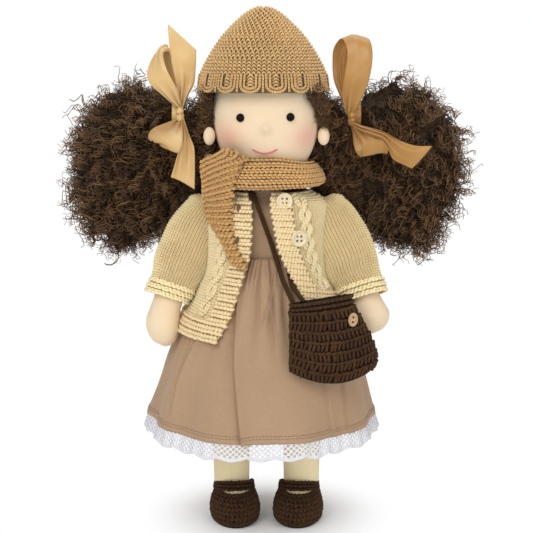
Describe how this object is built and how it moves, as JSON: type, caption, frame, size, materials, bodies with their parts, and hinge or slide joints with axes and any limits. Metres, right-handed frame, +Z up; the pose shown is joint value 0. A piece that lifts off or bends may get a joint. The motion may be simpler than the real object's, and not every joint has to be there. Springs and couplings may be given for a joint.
{
  "type": "rag doll",
  "caption": "Soft standing rag doll with hair bunches, in a knitted hat, scarf and cardigan, a gathered dress with lace hem, crocheted shoes and an open shoulder bag.",
  "frame": {"origin": "middle of the footprint box, on the ground under the soles", "axes": "+Z up, the doll faces -Y, +X is to the right when it is seen from the front"},
  "size_m": [0.298, 0.141, 0.3794],
  "materials": {
    "skin_jersey": "matt cotton jersey, blushed at the cheeks",
    "leg_jersey": "matt cotton jersey, pale straw",
    "hair": "curled dark brown mohair with lighter tips",
    "tan_yarn": "knitted wool, tan",
    "cream_yarn": "knitted wool, cream",
    "brown_yarn": "crocheted yarn, dark brown",
    "dress_cotton": "plain woven cotton, light brown",
    "lace": "white cotton lace",
    "satin": "gold satin ribbon",
    "eye_bead": "black glossy bead",
    "button_cream": "cream polyester button",
    "button_wood": "plain sanded wood"
  },
  "bodies": {
    "torso": {"torso": "skin_jersey", "dress_bodice": "dress_cotton", "cardigan_body": "cream_yarn", "cardigan_button_upper": "button_cream", "cardigan_button_lower": "button_cream", "scarf_wrap": "tan_yarn", "scarf_tail": "tan_yarn", "bag_strap": "brown_yarn"},
    "head": {"head": "skin_jersey", "eye_left": "eye_bead", "eye_right": "eye_bead", "ear_left": "skin_jersey", "ear_right": "skin_jersey", "hair_cap": "hair"},
    "hat": {"hat": "tan_yarn"},
    "bunch_left": {"bunch_left": "hair", "bow_knot_left": "satin", "bow_upper_loop_left": "satin", "bow_upper_tail_left": "satin", "bow_lower_loop_left": "satin", "bow_lower_tail_left": "satin"},
    "bunch_right": {"bunch_right": "hair", "bow_knot_right": "satin", "bow_upper_loop_right": "satin", "bow_lower_loop_right": "satin", "bow_tail_right": "satin"},
    "arm_left": {"arm_left": "skin_jersey", "sleeve_left": "cream_yarn"},
    "arm_right": {"arm_right": "skin_jersey", "sleeve_right": "cream_yarn"},
    "lap": {"dress_skirt": "dress_cotton", "lace_trim": "lace"},
    "leg_left": {"leg_left": "leg_jersey", "shoe_sole_left": "brown_yarn", "shoe_upper_left": "brown_yarn", "shoe_strap_left": "brown_yarn"},
    "leg_right": {"leg_right": "leg_jersey", "shoe_sole_right": "brown_yarn", "shoe_upper_right": "brown_yarn", "shoe_strap_right": "brown_yarn"},
    "bag": {"bag_body": "brown_yarn", "bag_button": "button_wood"}
  },
  "joints": [
    {"name": "head_turn", "type": "hinge", "parent": "torso", "child": "head", "pos_m": [0, 0, 0.253], "axis": [0, 0, 1], "range_deg": [-8, 8]},
    {"name": "hat_lift", "type": "slide", "parent": "head", "child": "hat", "axis": [0, 0, 1], "range_m": [0, 0.1]},
    {"name": "bunch_left_swing", "type": "hinge", "parent": "head", "child": "bunch_left", "pos_m": [-0.065, 0.002, 0.303], "axis": [0, 0, -1], "range_deg": [0, 25]},
    {"name": "bunch_right_swing", "type": "hinge", "parent": "head", "child": "bunch_right", "pos_m": [0.065, 0.002, 0.303], "axis": [0, 0, 1], "range_deg": [0, 25]},
    {"name": "arm_left_raise", "type": "hinge", "parent": "torso", "child": "arm_left", "pos_m": [-0.047, 0.002, 0.232], "axis": [-1, 0, 0], "range_deg": [-8, 60]},
    {"name": "arm_right_raise", "type": "hinge", "parent": "torso", "child": "arm_right", "pos_m": [0.047, 0.002, 0.232], "axis": [-1, 0, 0], "range_deg": [-14, 60]},
    {"name": "sit", "type": "hinge", "parent": "torso", "child": "lap", "pos_m": [0, 0, 0.146], "axis": [-1, 0, 0], "range_deg": [0, 90], "deforming": ["dress_skirt", "lace_trim", "cardigan_body"]},
    {"name": "leg_left_swing", "type": "hinge", "parent": "lap", "child": "leg_left", "pos_m": [-0.0265, 0, 0.146], "axis": [-1, 0, 0], "range_deg": [-30, 0]},
    {"name": "leg_right_swing", "type": "hinge", "parent": "lap", "child": "leg_right", "pos_m": [0.0265, 0, 0.146], "axis": [-1, 0, 0], "range_deg": [-30, 0]},
    {"name": "bag_swing", "type": "hinge", "parent": "torso", "child": "bag", "pos_m": [0.038, -0.059, 0.175], "axis": [-1, 0, 0], "range_deg": [0, 90]}
  ],
  "couplings": [
    {"joint": "bag_swing", "follows": "sit", "ratio": 1}
  ]
}
